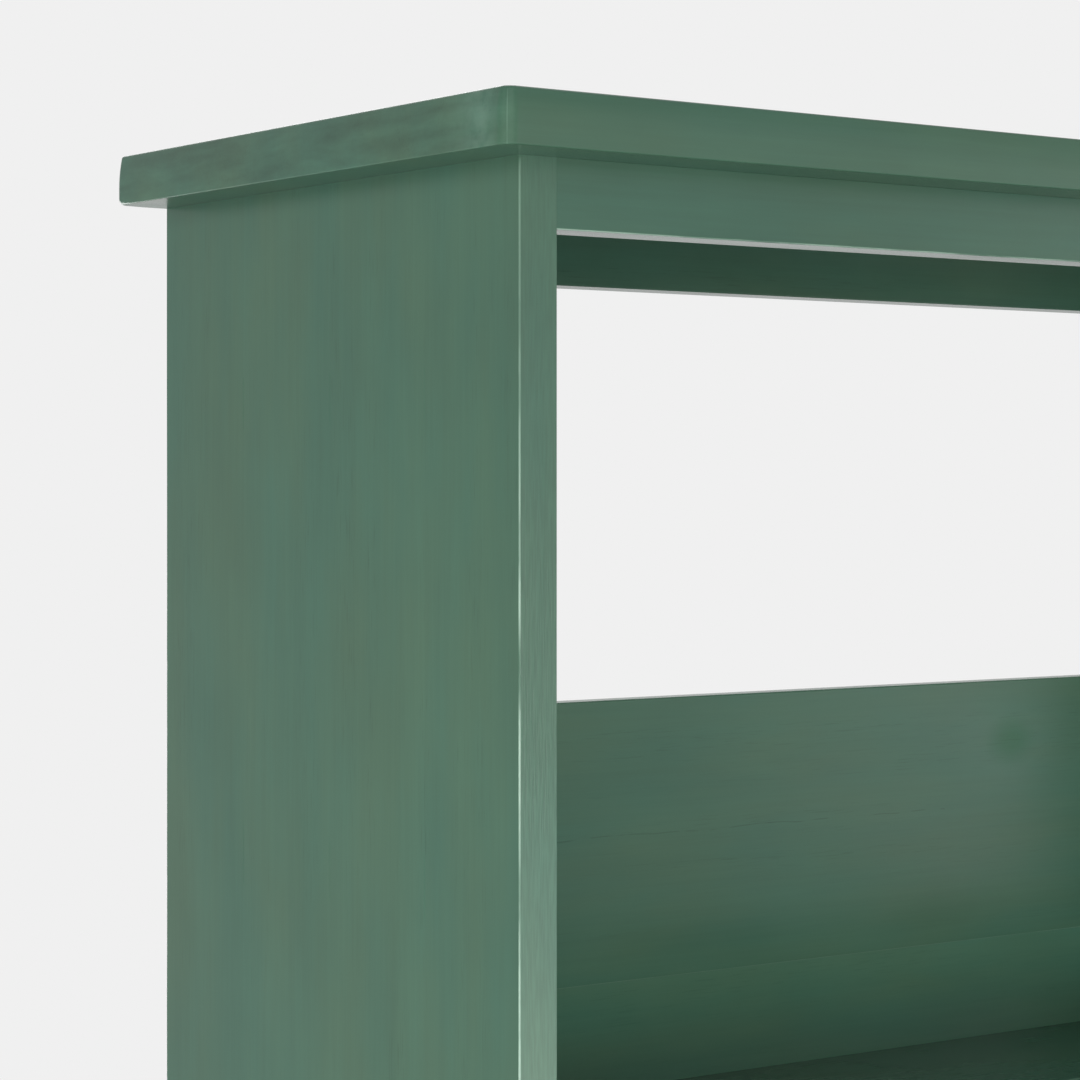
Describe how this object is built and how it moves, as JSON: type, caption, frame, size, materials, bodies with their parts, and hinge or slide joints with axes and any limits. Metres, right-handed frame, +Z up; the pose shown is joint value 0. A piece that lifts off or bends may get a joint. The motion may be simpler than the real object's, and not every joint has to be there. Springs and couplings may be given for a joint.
{
  "type": "plant table",
  "caption": "Painted softwood plant table: an overhanging top on full side boards, an open bay over a lipped potting tray with a board back, and a low shelf.",
  "frame": {"origin": "on the floor under the middle of the whole outline", "axes": "+X to the right seen from the front, +Y to the back (the wall side), +Z up"},
  "size_m": [1, 0.344, 1.25],
  "materials": {
    "green_paint": "satin grey-green paint over brushed softwood",
    "bare_beech": "bare turned beech",
    "zinc_steel": "zinc plated",
    "grey_nylon": "moulded nylon"
  },
  "bodies": {
    "root": {"top_board": "green_paint", "left_side_board": "green_paint", "right_side_board": "green_paint", "top_front_rail": "green_paint", "top_back_rail": "green_paint", "upper_back_board": "green_paint", "lower_back_board": "green_paint", "tray_front_rail": "green_paint", "tray_shelf": "green_paint", "lower_shelf": "green_paint", "lower_front_rail": "green_paint", "lower_back_rail": "green_paint", "tray_cleat_left": "green_paint", "tray_cleat_right": "green_paint", "lower_cleat_left": "green_paint", "lower_cleat_right": "green_paint", "corner_block_front_left": "green_paint", "corner_block_front_right": "green_paint", "corner_block_back_left": "green_paint", "corner_block_back_right": "green_paint", "top_dowel_left_front": "bare_beech", "top_dowel_left_middle": "bare_beech", "top_dowel_left_back": "bare_beech", "top_dowel_right_front": "bare_beech", "top_dowel_right_middle": "bare_beech", "top_dowel_right_back": "bare_beech", "upper_back_board_dowel_left_lower": "bare_beech", "upper_back_board_dowel_left_upper": "bare_beech", "upper_back_board_dowel_right_lower": "bare_beech", "upper_back_board_dowel_right_upper": "bare_beech", "lower_back_board_dowel_left_lower": "bare_beech", "lower_back_board_dowel_left_upper": "bare_beech", "lower_back_board_dowel_right_lower": "bare_beech", "lower_back_board_dowel_right_upper": "bare_beech", "tray_cleat_left_screw_front": "zinc_steel", "tray_cleat_left_screw_back": "zinc_steel", "tray_cleat_right_screw_front": "zinc_steel", "tray_cleat_right_screw_back": "zinc_steel", "lower_cleat_left_screw_front": "zinc_steel", "lower_cleat_left_screw_back": "zinc_steel", "lower_cleat_right_screw_front": "zinc_steel", "lower_cleat_right_screw_back": "zinc_steel", "corner_block_front_left_screw": "zinc_steel", "corner_block_front_right_screw": "zinc_steel", "corner_block_back_left_screw": "zinc_steel", "corner_block_back_right_screw": "zinc_steel", "glide_front_left": "grey_nylon", "glide_front_right": "grey_nylon", "glide_back_left": "grey_nylon", "glide_back_right": "grey_nylon"}
  },
  "joints": []
}
